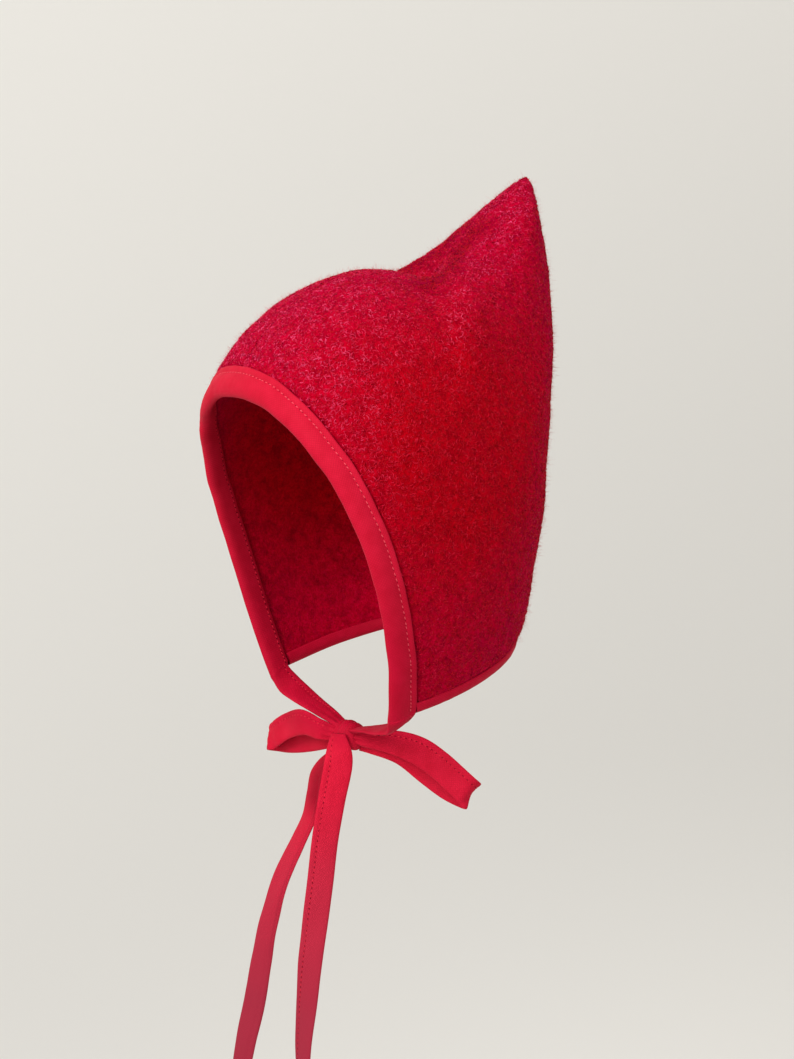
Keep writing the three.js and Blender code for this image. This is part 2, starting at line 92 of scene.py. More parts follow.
# Routes of the tape; turn and tilt give the direction across it
ROUTE = [("x", float), ("y", float), ("z", float), ("turn", float), ("tilt", float), ("width", float)]
TIE_ROUTE = np.array([
    (50, -11.5, -91, 92, 24, 12),
    (40, -10.5, -94, 94, 20, 11.5),
    (28, -9, -97.2, 92, 14, 10),
    (16, -8, -99.6, 90, 8, 8.5),
    (6, -7.5, -102, 90, 0, 7),
], dtype=ROUTE)
LEFT_LOOP_ROUTE = np.array([
    (5, -9, -104.8, 60, 85, 6),
    (10, -5, -105.8, 60, 82, 7.5),
    (18, 4.6, -106.6, 60, 70, 11),
    (27.5, 12.4, -109.4, 60, 60, 12.8),
    (36, 18.2, -114.8, 60, 60, 13),
    (43, 22.6, -120.6, 60, 60, 13),
    (47, 26, -125, 60, 60, 13),
    (46.4, 29, -127.8, 60, 60, 13),
    (43, 28.8, -128.4, 60, 60, 13),
    (36, 24, -125.6, 60, 60, 13),
    (27, 17.8, -119.4, 60, 60, 12.8),
    (17.5, 9.6, -112.2, 60, 70, 11),
    (10, -0.8, -109.4, 60, 82, 7.5),
    (5, -4.4, -109, 60, 85, 6),
], dtype=ROUTE)
RIGHT_LOOP_ROUTE = np.array([
    (-5, -9.4, -105.4, 0, 85, 6),
    (-9.3, -11.6, -105.6, 0, 85, 7.5),
    (-13.5, -15.2, -104.6, 0, 85, 10),
    (-24, -17.8, -103.2, 0, 85, 12),
    (-38, -18.8, -107.5, 0, 80, 12),
    (-49, -19.6, -113.5, 0, 80, 12),
    (-54.5, -18.6, -116.8, 0, 80, 12),
    (-53.5, -15.4, -117.6, 0, 80, 12),
    (-45, -13.2, -116.6, 0, 80, 12),
    (-32, -10.8, -113.5, 0, 80, 12),
    (-18, -8.6, -110.6, 0, 85, 9.5),
    (-9.3, -6, -109, 0, 85, 7.5),
    (-5, -5.2, -108.6, 0, 85, 6),
], dtype=ROUTE)
LEFT_TAIL_ROUTE = np.array([
    (2.5, -14.4, -103.5, 12, 0, 9),
    (3.2, -14.6, -109, 28, 0, 12),
    (4.4, -15.4, -116, 50, 0, 13),
    (4.4, -19, -133, 60, 0, 12.4),
    (3, -21.8, -152, 60, 0, 12),
    (3, -24.2, -170, 57, 0, 12),
    (2, -26.4, -189, 48, 0, 12),
    (2, -29, -207, 36, 0, 12),
    (1, -30.4, -226, 22, 0, 12),
    (0, -31.8, -245, 8, 0, 12),
    (0, -32.3, -263, 0, 0, 12),
    (0, -32.4, -279, -4, 0, 12),
], dtype=ROUTE)
RIGHT_TAIL_ROUTE = np.array([
    (-2.5, -9, -112.8, -15, 0, 8),
    (-5.9, -14.8, -117, -6, 0, 10),
    (-8.3, -19.1, -124, 0, 0, 12),
    (-9.7, -20.5, -134, 0, 0, 12),
    (-11.4, -21.8, -144, -2, 0, 12),
    (-15.4, -25.6, -156, 0, 0, 12),
    (-22, -31.4, -175.5, 7, 0, 12),
    (-27, -35, -195, 12, 0, 12),
    (-31, -37, -215, 20, 0, 12),
    (-35, -38.8, -236, 27, 0, 12),
    (-39, -41.6, -256, 21, 0, 12),
    (-42, -43.6, -275, 12, 0, 12),
    (-44, -44.6, -292, 6, 0, 12),
], dtype=ROUTE)

# Wrap of the knot
KNOT = dict(centre=np.array([0.0, -7.0, -105.5]), half_length=7.8, depth=5.6, height=6.4)

# Outlines of the folded bindings: distance from the fold, and depth below the outside of the wool
FACE_PROFILE = np.array([
    (12.0, -0.12), (12.15, -0.5), (11.95, -0.88), (11.5, -1.04), (10.8, -1.1), (10.1, -1.02),
    (9.6, -0.82), (9.25, -0.66), (8.9, -0.8), (8.3, -1.08), (7.3, -1.4), (6.0, -1.62),
    (4.5, -1.68), (3.1, -1.5), (1.9, -1.12), (0.8, -0.45), (0.15, 0.4), (-0.1, 1.3),
    (0.15, 2.2), (0.8, 3.05), (1.9, 3.6), (3.4, 3.9), (6.0, 3.95), (9.0, 3.8),
    (10.4, 3.6), (10.9, 3.3), (10.7, 2.9), (10.0, 2.74), (2.2, 2.74), (1.4, 1.3), (2.2, -0.12),
])
NECK_PROFILE = np.array([
    (5.5, -0.12), (5.62, -0.45), (5.4, -0.8), (4.9, -0.98), (4.0, -1.14), (3.0, -1.2),
    (2.0, -1.08), (1.0, -0.7), (0.3, 0.1), (0.0, 1.3), (0.3, 2.5), (1.0, 3.3),
    (2.0, 3.7), (3.2, 3.8), (4.6, 3.6), (5.2, 3.35), (5.1, 2.95), (4.8, 2.74),
    (2.2, 2.74), (1.4, 1.3), (2.2, -0.12),
])

# Rows of the face outline near its outside edge and near its inside edge
OUTSIDE_LEG = slice(0, 10)
INSIDE_LEG = slice(20, 26)

# Tape, stitches and needle holes (dark discs of painted shade), with flat widths in metres
TAPE_THICKNESS = 1.7
TAPE_COLUMNS = 17
THREADS_PER_MM = 1.6
NECK_TUCK = 0.25
STITCH = dict(line=2.7, pitch=2.45, length=1.6, width=0.46, height=0.32, slant=0.18, sunk=0.12)
HOLE = dict(half_length=0.46, half_width=0.36, middle_lift=0.06, rim_lift=0.03)

# Felt: size, height and seed of its waves, and height, middle and width of its dips and of its painted
# shades
PANEL_STEPS = 140
PILE = 0.6
OUTSIDE_WAVES = ((24, 0.7, 11), (5.5, 0.36, 12), (2, 0.24, 13))
INSIDE_WAVES = ((2.5, 0.1, 14),)
NAP_CLUMPS = ((3.4, 1.0, 21), (9, 0.7, 22))
# Way from which the painted light on the fibres comes
PAINTED_LIGHT_WAY = np.array([0.0, -0.81, 0.59])
SEAM_VALLEY = (0.35, 0, 1.3)
FACE_DIP = (0.75, 12.3, 1.4)
NECK_DIP = (0.35, 5.8, 1.2)
SEAM_SHADE = (0.35, 0, 1.2)
TAPE_SHADE = (0.6, 12.4, 1.0)

# Curls on the felt, with painted light that is weaker on the inside curls, and how many loose fibres each
# side has
OUTSIDE_CURLS = dict(count=32000, length=2.0, width=0.34, lift=0.34, light=1.0)
INSIDE_CURLS = dict(count=3000, length=1.8, width=0.34, lift=0.25, light=0.45)
FIBRES_PER_SIDE = 49000

# Places in metres where painted light and shade change the reds
LEAST_COOL_LIGHT_AT = (0, 0.03, -0.065)
COOL_LIGHT_FADE_IN = (0.035, 0.085)
TAIL_LIGHT_FALLOFF_HEIGHTS = (-0.33, -0.22)
TAIL_FALLOFF_BLEND_HEIGHTS = (-0.26, -0.21)
JAW_SHADE_HEIGHTS = (-0.21, -0.08)
WHITE = (1.0, 1.0, 1.0)
BLACK = (0.0, 0.0, 0.0)

# View of the photograph
VIEW_AZIMUTH = 59.56
VIEW_ELEVATION = 8.085
VIEW_DISTANCE = 1.0
VIEW_AIM = Vector((0.0092, 0.0293, -0.1068))
VIEW_LENS = 75.88
VIEW_SENSOR = 36
VIEW_CLIP = (0.05, 50)

# Studio, in metres: a round floor that curves up into a wall, and where the lights aim
SWEEP = dict(floor=-0.62, radius=2.6, bend=0.9, top=1.7, inner_radii=(0.01, 0.8), bend_steps=14, turns=96)
SWEEP_SHADE = (-0.2, -0.34, 0.6)
CROWN_MIDDLE = Vector((0, 0.03, -0.07))
BOW_MIDDLE = Vector((0.01, 0.0, -0.235))


# Small helpers
def unit(vectors):
    return vectors / np.linalg.norm(vectors, axis=-1, keepdims=True)


def smooth_step(value, low, high):
    share = np.clip((value - low) / (high - low), 0, 1)
    return share * share * (3 - 2 * share)


def hump(value, height, middle, width):
    """Height that falls off evenly to both sides of a middle."""
    return height * np.exp(-((value - middle) / width) ** 2)


def run_length(line):
    """Distance of each point of a line from its first one, along the line."""
    return np.concatenate([[0], np.cumsum(np.linalg.norm(np.diff(line, axis=0), axis=1))])


def spaced(line, shares):
    """Points at shares of a line's length."""
    along = run_length(line)
    return np.stack([np.interp(shares * along[-1], along, line[:, axis]) for axis in range(3)], axis=-1)


def curve_through(xs, ys, at):
    """Cubic through points, with neighbours setting the inner slopes and free ends."""
    span = np.diff(xs)
    chord = np.diff(ys) / span
    slope = np.empty(len(xs))
    slope[1:-1] = (chord[:-1] * span[1:] + chord[1:] * span[:-1]) / (span[1:] + span[:-1])
    slope[0] = 1.5 * chord[0] - 0.5 * slope[1]
    slope[-1] = 1.5 * chord[-1] - 0.5 * slope[-2]
    i = np.clip(np.searchsorted(xs, at, side="right") - 1, 0, len(span) - 1)
    t = (at - xs[i]) / span[i]
    leaving = ys[i] * (1 + 2 * t) * (1 - t) ** 2 + slope[i] * span[i] * t * (1 - t) ** 2
    arriving = ys[i + 1] * t * t * (3 - 2 * t) + slope[i + 1] * span[i] * t * t * (t - 1)
    return leaving + arriving


def ripples(points, size, seed, stride=17.3):
    """Smooth noise between about -1 and 1 with bumps of the given size, at millimetre points."""
    flat = (points.reshape(-1, 3) / size) + seed * stride
    values = np.fromiter((noise.noise(point) for point in flat.tolist()), float, len(flat))
    return values.reshape(points.shape[:-1])


def waves(points, rows):
    """Sum of ripples, each row with their size, height and seed."""
    return sum(height * ripples(points, size, seed) for size, height, seed in rows)


def near_line(points, mark):
    """Share from 1 on a marked line of either side to 0 well away from it."""
    left = np.array(points, float)
    left[..., 0] = np.abs(left[..., 0])
    away = np.full(points.shape[:-1], np.inf)
    for start, end in zip(mark["line"][:-1], mark["line"][1:]):
        way = end - start
        share = np.clip((left - start) @ way / (way @ way), 0, 1)
        away = np.minimum(away, np.linalg.norm(left - start - share[..., None] * way, axis=-1))
    return hump(away, 1, 0, mark["width"])


# Shape of the bonnet
TIP_ROW = int(np.flatnonzero(SECTIONS["at"] == "tip")[0])
TIP_ANGLE = SECTIONS["angle"][TIP_ROW]
FAN = np.concatenate([SECTIONS[TIP_ROW:], SECTIONS[:TIP_ROW + 1]])
FAN["angle"][len(SECTIONS) - TIP_ROW:] += 360


def fan_angle(direction):
    """Angle of the fan, counted on from the tip."""
    angle = np.degrees(np.arctan2(direction[..., 2], -direction[..., 1])) % 360
    return np.where(angle < TIP_ANGLE, angle + 360, angle)


def hollow_depth(angle, sideways):
    """Depth of the hollow at an angle of the fan and a share of the way sideways."""
    rising = smooth_step(angle, HOLLOW["start"], HOLLOW["full"])
    amount = rising * (1 - smooth_step(angle, HOLLOW["keep"], HOLLOW["end"]))
    along = np.clip((angle - HOLLOW["full"]) / (HOLLOW["end"] - HOLLOW["full"]), 0, 1)
    width = HOLLOW["foot_width"] + (HOLLOW["top_width"] - HOLLOW["foot_width"]) * along
    side = np.degrees(np.arcsin(np.minimum(1, np.abs(sideways))))
    return hump(side, HOLLOW["depth"] * amount, 0, width)


def outer_radius(direction):
    """Distance from the head's centre to the outside of the wool."""
    angle = fan_angle(direction)
    power = curve_through(FAN["angle"], FAN["roundness"], angle)
    reach = curve_through(FAN["angle"], FAN["reach"], angle)
    across = np.abs(direction[..., 0]) / HALF_WIDTH
    along = np.hypot(direction[..., 1], direction[..., 2]) / reach
    radius = (across ** power + along ** power) ** (-1 / power)
    return radius - hollow_depth(angle - 360, direction[..., 0])


def surface_normal(direction):
    """Normal of the outside, from the surface a short step away on each side."""
    step = 0.01
    nearly_sideways = np.abs(direction[..., :1]) >= 0.9
    aside = np.where(nearly_sideways, [0, 1.0, 0], [1.0, 0, 0])
    first = unit(aside - direction * (aside * direction).sum(-1, keepdims=True))
    second = np.cross(direction, first)
    slopes = []
    for way in (first, second):
        ahead, behind = unit(direction + step * way), unit(direction - step * way)
        slopes.append(ahead * outer_radius(ahead)[..., None] - behind * outer_radius(behind)[..., None])
    return unit(np.cross(slopes[0], slopes[1]))


def offset_way(point, direction, normal):
    """Way through the wall: square to it low down, along the radius in the peak."""
    radial = smooth_step(point[..., 2:], SQUARE_BELOW, RADIAL_ABOVE)
    way = unit(normal * (1 - radial) + direction * radial)
    return way / np.maximum((way * normal).sum(-1, keepdims=True), 1 / MAX_SLANT)


def shell_point(towards, depth):
    """Point a given depth below the outside of the wool."""
    direction = unit(towards)
    point = direction * outer_radius(direction)[..., None]
    way = offset_way(point, direction, surface_normal(direction))
    return point - way * np.asarray(depth)[..., None]


def last_inside(inside, low, high, halvings=40):
    """Largest value that is still inside, between one that is and one that isn't."""
    low = np.array(low, float)
    high = np.array(high, float)
    for _ in range(halvings):
        middle = (low + high) / 2
        keep = inside(middle)
        low = np.where(keep, middle, low)
        high = np.where(keep, high, middle)
    return low


def is_inside(x, y, z):
    point = np.stack(np.broadcast_arrays(x, y, z), axis=-1).astype(float)
    return np.linalg.norm(point, axis=-1) < outer_radius(unit(point))


def face_y(z):
    return FACE_EDGE["front"] + FACE_EDGE["lean"] * z + FACE_EDGE["bow"] * z * z


def neck_z(y):
    return NECK_EDGE["height"] + NECK_EDGE["rise"] * y + NECK_EDGE["bow"] * y * y


def edge_lines(setback, samples=240, rounds=20):
    """Left half of the face edge and of the neck edge, each from the jaw to the middle plane."""
    jaw_z = NECK_EDGE["height"]
    for _ in range(rounds):
        jaw_z = neck_z(face_y(jaw_z) + setback) + setback
    jaw_y = face_y(jaw_z) + setback
    brow_z = last_inside(lambda z: is_inside(0, face_y(z) + setback, z), 0, 2 * HALF_WIDTH)
    nape_y = last_inside(lambda y: is_inside(0, y, neck_z(y) + setback), 0, 2 * HALF_WIDTH)
    share = np.sin(np.linspace(0, math.pi / 2, samples))
    z = jaw_z + (brow_z - jaw_z) * share
    y = jaw_y + (nape_y - jaw_y) * share
    middle, well_outside = np.zeros(samples), np.full(samples, 2 * HALF_WIDTH)
    lines = []
    for at_y, at_z in ((face_y(z) + setback, z), (y, neck_z(y) + setback)):
        x = last_inside(lambda side: is_inside(side, at_y, at_z), middle, well_outside)
        x[-1] = 0
        lines.append(np.stack([x, at_y, at_z], axis=-1))
    return lines


def seam_line(start, samples=240):
    """Middle seam from a point on it to the tip."""
    angle = math.degrees(math.atan2(start[2], -start[1]))
    start_angle = angle + 360 if angle < -90 else angle
    turn = np.radians(np.linspace(start_angle, TIP_ANGLE, samples))
    direction = np.stack([np.zeros(samples), -np.cos(turn), np.sin(turn)], axis=-1)
    radius = outer_radius(direction)
    radius[-1] = SECTIONS["reach"][TIP_ROW]
    return direction * radius[:, None]


# Making meshes
def place(points):
    return (points + HEAD_CENTRE) * METRES


def new_piece(name, points, faces, material, tone=None, weave=None):
    """Mesh piece from millimetre points and faces of one size, riding on the bonnet."""
    faces = np.asarray(faces)
    mesh = bpy.data.meshes.new(name)
    mesh.vertices.add(len(points))
    mesh.vertices.foreach_set("co", place(points).astype(np.float32).ravel())
    mesh.loops.add(faces.size)
    mesh.loops.foreach_set("vertex_index", faces.astype(np.int32).ravel())
    mesh.polygons.add(len(faces))
    mesh.polygons.foreach_set("loop_start", np.arange(0, faces.size, faces.shape[1], dtype=np.int32))
    mesh.polygons.foreach_set("use_smooth", np.full(len(faces), True))
    mesh.update(calc_edges=True)
    mesh.validate()
    if tone is not None:
        tones = mesh.attributes.new("tone", "FLOAT", "POINT")
        tones.data.foreach_set("value", tone.astype(np.float32))
    if weave is not None:
        weave_places = np.stack([*weave, np.zeros(weave[0].shape)], axis=-1).astype(np.float32)
        weaves = mesh.attributes.new("weave", "FLOAT_VECTOR", "POINT")
        weaves.data.foreach_set("vector", weave_places.ravel())
    mesh.materials.append(material)
    piece = bpy.data.objects.new(name, mesh)
    bpy.context.scene.collection.objects.link(piece)
    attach(piece, "root")
    return piece


def grid_faces(rows, columns, first=0, closed=False):
    """Quads of a grid of points; a closed grid joins its last column to the first."""
    quads_across = columns if closed else columns - 1
    row, column = np.meshgrid(np.arange(rows - 1), np.arange(quads_across), indexing="ij")
    after = (column + 1) % columns
    here, below = row * columns, (row + 1) * columns
    corners = [here + column, here + after, below + after, below + column]
    return first + np.stack(corners, axis=-1).reshape(-1, 4)


def tube_faces(rings, sides):
    """Quads of a closed tube, with a strip of quads across each end."""
    walls = grid_faces(rings, sides, closed=True)
    step = np.arange(sides // 2 - 1)
    cap = np.stack([step, step + 1, sides - 2 - step, sides - 1 - step], axis=-1)
    return np.concatenate([walls, cap[:, ::-1], cap + (rings - 1) * sides])


def grid_normals(grid):
    down = np.gradient(grid, axis=0)
    across = np.gradient(grid, axis=1)
    return unit(np.cross(down, across) + 1e-12)


def cell_areas(grid):
    down = np.diff(grid, axis=0)[:, :-1]
    across = np.diff(grid, axis=1)[:-1]
    return np.linalg.norm(np.cross(down, across), axis=-1)


# Materials
def new_material(name):
    material = bpy.data.materials.new(name)
    material.use_nodes = True
    tree = material.node_tree
    return material, tree, tree.nodes["Principled BSDF"]


def add_node(tree, kind, inputs=(), **settings):
    node = tree.nodes.new(kind)
    for key, value in settings.items():
        setattr(node, key, value)
    for key, value in dict(inputs).items():
        if isinstance(value, bpy.types.NodeSocket):
            tree.links.new(value, node.inputs[key])
        else:
            node.inputs[key].default_value = value
    return node


def colour_ramp(tree, factor, stops):
    ramp = add_node(tree, "ShaderNodeValToRGB", {"Fac": factor})
    elements = ramp.color_ramp.elements
    while len(elements) < len(stops):
        elements.new(0.5)
    for element, (position, colour) in zip(elements, stops):
        element.position = position
        element.color = (*colour, 1)
    return ramp.outputs["Color"]


def object_place(tree):
    return add_node(tree, "ShaderNodeTexCoord").outputs["Object"]


def object_noise(tree, scale, detail, roughness=0.6):
    return add_node(tree, "ShaderNodeTexNoise", {
        "Vector": object_place(tree), "Scale": scale, "Detail": detail,
        "Roughness": roughness}).outputs["Fac"]


def own_tone(tree):
    """Tone that a piece's points carry, or 0 where they carry none."""
    return add_node(tree, "ShaderNodeAttribute", attribute_name="tone").outputs["Fac"]


def share_between(tree, value, low, high):
    """Share from 0 at a low value to 1 at a high one."""
    return add_node(tree, "ShaderNodeMapRange", {
        "Value": value, "From Min": low, "From Max": high}).outputs["Result"]


def height_share(tree, low, high):
    """Share from 0 at a low height to 1 at a high one, both in metres."""
    height = add_node(tree, "ShaderNodeSeparateXYZ", {"Vector": object_place(tree)}).outputs["Z"]
    return share_between(tree, height, low, high)


def vector_math(tree, operation, first, second):
    return add_node(tree, "ShaderNodeVectorMath", {0: first, 1: second}, operation=operation)


def blend(tree, first, second, factor=1.0, kind="MULTIPLY"):
    """Product of two colours, or another blend of them."""
    node = add_node(tree, "ShaderNodeMix", {"Factor": factor}, data_type="RGBA", blend_type=kind)
    colours = [socket for socket in node.inputs if socket.type == "RGBA"]
    tree.links.new(first, colours[0])
    tree.links.new(second, colours[1])
    return next(socket for socket in node.outputs if socket.type == "RGBA")


def set_sockets(shader, values):
    for key, value in values.items():
        shader.inputs[key].default_value = value


def add_bump(tree, shader, strength, distance, height):
    bump = add_node(tree, "ShaderNodeBump", {
        "Strength": strength, "Distance": distance, "Height": height})
    tree.links.new(bump.outputs["Normal"], shader.inputs["Normal"])


def painted_cool_light(tree, blue_left):
    """Painted cool light: a tint that takes blue out of the red in the middle of each side, where a share
    of it is left, so the red grows bluer away from there.
    """
    flat = vector_math(tree, "MULTIPLY", object_place(tree), (0, 1, 1)).outputs["Vector"]
    away = vector_math(tree, "DISTANCE", flat, LEAST_COOL_LIGHT_AT).outputs["Value"]
    share = share_between(tree, away, *COOL_LIGHT_FADE_IN)
    return colour_ramp(tree, share, [(0.0, (1.0, 1.0, blue_left)), (1.0, WHITE)])


def wool_material():
    """Dense felt: pebbled red with darker gaps between the curls, darkened where its points carry painted
    shade.
    """
    material, tree, shader = new_material("felted_wool")
    pebbles = colour_ramp(tree, object_noise(tree, 900, 2), [
        (0.3, (0.33, 0.0004, 0.01)), (0.5, (0.43, 0.0005, 0.0157)), (0.72, (0.52, 0.001, 0.0315))])
    patches = colour_ramp(tree, object_noise(tree, 130, 4), [(0.32, (0.78, 0.6, 0.8)), (0.62, WHITE)])
    gaps = colour_ramp(tree, object_noise(tree, 300, 2), [(0.34, (0.7, 0.6, 0.7)), (0.56, WHITE)])
    # Painted shade that the felt's points carry in their tone
    shade = colour_ramp(tree, own_tone(tree), [(0.0, (0.45, 0.35, 0.5)), (1.0, WHITE)])
    mottle = blend(tree, blend(tree, pebbles, patches), blend(tree, gaps, shade))
    # Painted cool light: bluer red away from the middle of each side
    tree.links.new(blend(tree, mottle, painted_cool_light(tree, 0.25)), shader.inputs["Base Color"])
    add_bump(tree, shader, 0.9, 0.0006, object_noise(tree, 1300, 2))
    set_sockets(shader, {
        "Roughness": 0.95, "Specular IOR Level": 0.0, "Sheen Weight": 0.22, "Sheen Roughness": 0.5,
        "Sheen Tint": (1.0, 0.03, 0.28, 1)})
    return material


def fibre_material():
    """Single wool fibres and curls, from dark to light by their own tone, which carries painted light and
    shade.
    """
    material, tree, shader = new_material("wool_fibre")
    colour = colour_ramp(tree, own_tone(tree), [
        (0.0, (0.27, 0.0004, 0.005)), (0.13, (0.41, 0.0006, 0.008)), (0.4, (0.52, 0.006, 0.042)),
        (0.7, (0.6, 0.024, 0.1)), (1.0, (0.68, 0.055, 0.17))])
    # Painted cool light: bluer red away from the middle of each side
    tree.links.new(blend(tree, colour, painted_cool_light(tree, 0.62)), shader.inputs["Base Color"])
    set_sockets(shader, {"Roughness": 0.6, "Specular IOR Level": 0.06})
    return material


def cotton_material():
    """Smooth tape, woven with its threads aslant, with painted shade at the jaw, a painted falloff of
    light down the tails and painted shadow by its tone.
    """
    material, tree, shader = new_material("cotton_tape")
    own_red = colour_ramp(tree, object_noise(tree, 160, 3), [
        (0.3, (0.5, 0.005, 0.026)), (0.7, (0.57, 0.008, 0.035))])
    # Painted falloff of light: a dimmer, duller red low on the tails
    falloff_red = colour_ramp(tree, height_share(tree, *TAIL_LIGHT_FALLOFF_HEIGHTS), [
        (0.0, (0.36, 0.024, 0.05)), (1.0, (0.52, 0.01, 0.036))])
    # Where the tails' painted falloff of light takes over, a little below the knot
    falloff_share = colour_ramp(tree, height_share(tree, *TAIL_FALLOFF_BLEND_HEIGHTS), [(0.0, WHITE), (1.0, BLACK)])
    # Painted shade low on the face binding by the jaw and on the straps
    jaw = colour_ramp(tree, height_share(tree, *JAW_SHADE_HEIGHTS), [
        (0.03, WHITE), (0.1, (0.84, 0.5, 0.85)), (0.4, (0.85, 0.5, 0.85)), (0.85, WHITE)])
    # Painted shadow from the tone that the tape's points carry
    shadow = colour_ramp(tree, own_tone(tree), [(0.0, WHITE), (1.0, (0.55, 0.3, 0.5))])
    colour = blend(tree, own_red, falloff_red, falloff_share, "MIX")
    colour = blend(tree, blend(tree, colour, jaw), shadow)
    at = add_node(tree, "ShaderNodeAttribute", attribute_name="weave").outputs["Vector"]
    turned = add_node(tree, "ShaderNodeMapping", {"Vector": at, "Rotation": (0, 0, math.pi / 2)})
    warp, weft = (add_node(tree, "ShaderNodeTexWave", {
        "Vector": way, "Scale": THREADS_PER_MM * math.pi / 10, "Distortion": 0.6, "Detail": 1.0,
        "Detail Scale": 2.0}, bands_direction="DIAGONAL").outputs["Fac"]
        for way in (at, turned.outputs["Vector"]))
    threads = add_node(tree, "ShaderNodeMath", {0: warp, 1: weft}, operation="MULTIPLY").outputs["Value"]
    shade = colour_ramp(tree, threads, [(0.0, (0.86, 0.8, 0.82)), (0.5, WHITE)])
    tree.links.new(blend(tree, colour, shade), shader.inputs["Base Color"])
    add_bump(tree, shader, 0.5, 0.00012, threads)
    set_sockets(shader, {
        "Roughness": 0.6, "Specular IOR Level": 0.05, "Sheen Weight": 0.02, "Sheen Roughness": 0.4,
        "Sheen Tint": (1.0, 0.35, 0.45, 1)})
    return material


def thread_material():
    """Sewing thread, from the tape's own red to a lighter one by its tone."""
    material, tree, shader = new_material("sewing_thread")
    colour = colour_ramp(tree, own_tone(tree), [
        (0.0, (0.3, 0.003, 0.014)), (0.5, (0.6, 0.01, 0.034)), (1.0, (0.76, 0.12, 0.16))])
    tree.links.new(colour, shader.inputs["Base Color"])
    set_sockets(shader, {"Roughness": 0.5, "Specular IOR Level": 0.2})
    return material


def hole_shade_material():
    """Dark red painted as the shade inside the needle holes."""
    material, tree, shader = new_material("needle_hole")
    colour = colour_ramp(tree, object_noise(tree, 900, 1), [
        (0.3, (0.09, 0.001, 0.006)), (0.7, (0.15, 0.002, 0.01))])
    tree.links.new(colour, shader.inputs["Base Color"])
    set_sockets(shader, {"Roughness": 0.9, "Specular IOR Level": 0.0})
    return material


def sweep_material():
    """Pale backdrop that glows a little, less so low down and to the camera's right."""
    material, tree, shader = new_material("studio_sweep")
    slope = vector_math(tree, "DOT_PRODUCT", object_place(tree), SWEEP_SHADE).outputs["Value"]
    glow = colour_ramp(tree, share_between(tree, slope, -1.0, 1.0), [
        (0.0, (0.225, 0.219, 0.209)), (1.0, (0.555, 0.543, 0.517))])
    tree.links.new(glow, shader.inputs["Emission Color"])
    set_sockets(shader, {
        "Base Color": (0.5, 0.49, 0.465, 1), "Roughness": 0.95, "Specular IOR Level": 0.0,
        "Emission Strength": 1.0})
    material.cycles.emission_sampling = "NONE"
    return material


wool = wool_material()
fibre = fibre_material()
cotton = cotton_material()
thread = thread_material()
hole_shade = hole_shade_material()


# Camera
def view_direction(azimuth, elevation):
    """Direction from the bonnet to the camera."""
    turn, rise = math.radians(azimuth), math.radians(elevation)
    return Vector((math.sin(turn) * math.cos(rise), -math.cos(turn) * math.cos(rise), math.sin(rise)))


camera = bpy.data.objects.new("camera", bpy.data.cameras.new("camera"))
bpy.context.scene.collection.objects.link(camera)
bpy.context.scene.camera = camera
back = view_direction(VIEW_AZIMUTH, VIEW_ELEVATION)
camera.location = VIEW_AIM + back * VIEW_DISTANCE
camera.rotation_euler = back.to_track_quat("Z", "Y").to_euler()
camera.data.sensor_width = VIEW_SENSOR
camera.data.lens = VIEW_LENS
camera.data.clip_start, camera.data.clip_end = VIEW_CLIP


# Stitches
stitch_points = []
stitch_faces = []
stitch_tones = []
hole_points = []
hole_faces = []


def add_stitches(places, alongs, ups, holes, tone, steps=6, sides=6):
    """Short raised stitches, each a rounded bar sunk at its ends, with a dark disc of painted shade as
    the needle hole after it.
    """
    shares = np.linspace(-1, 1, steps)[:, None, None]
    turn = np.linspace(0, 2 * math.pi, sides + 1)[:-1, None]
    swell = np.sqrt(np.maximum(0.02, 1 - shares ** 4))
    for place_at, along, up, hole in zip(places, unit(alongs), unit(ups), holes):
        along = unit(along + STITCH["slant"] * np.cross(up, along))
        side = np.cross(up, along)
        outline = np.cos(turn) * side * STITCH["width"] / 2 + np.sin(turn) * up * STITCH["height"] / 2
        bar = shares * along * STITCH["length"] / 2 + outline * swell - shares ** 2 * up * STITCH["sunk"]
        stitch_faces.append(tube_faces(steps, sides) + steps * sides * len(stitch_points))
        stitch_points.append((place_at + bar).reshape(-1, 3))
        stitch_tones.append(np.full(steps * sides, tone))
        rim = (hole + np.cos(turn) * along * HOLE["half_length"]
               + np.sin(turn) * side * HOLE["half_width"] + up * HOLE["rim_lift"])
        first = (sides + 1) * len(hole_points)
        hole_points.append(np.concatenate([[hole + up * HOLE["middle_lift"]], rim]))
        hole_faces.append([(first, first + 1 + corner, first + 1 + (corner + 1) % sides)
                           for corner in range(sides)])


def stitch_stations(distance):
    """Stations nearest to the middles of the stitches, and to the needle holes after them."""
    count = max(1, int(distance[-1] / STITCH["pitch"]))
    middles = (np.arange(count) + 0.5) * distance[-1] / count
    holes = np.searchsorted(distance, middles + distance[-1] / count / 2)
    return np.searchsorted(distance, middles), np.minimum(holes, len(distance) - 1)


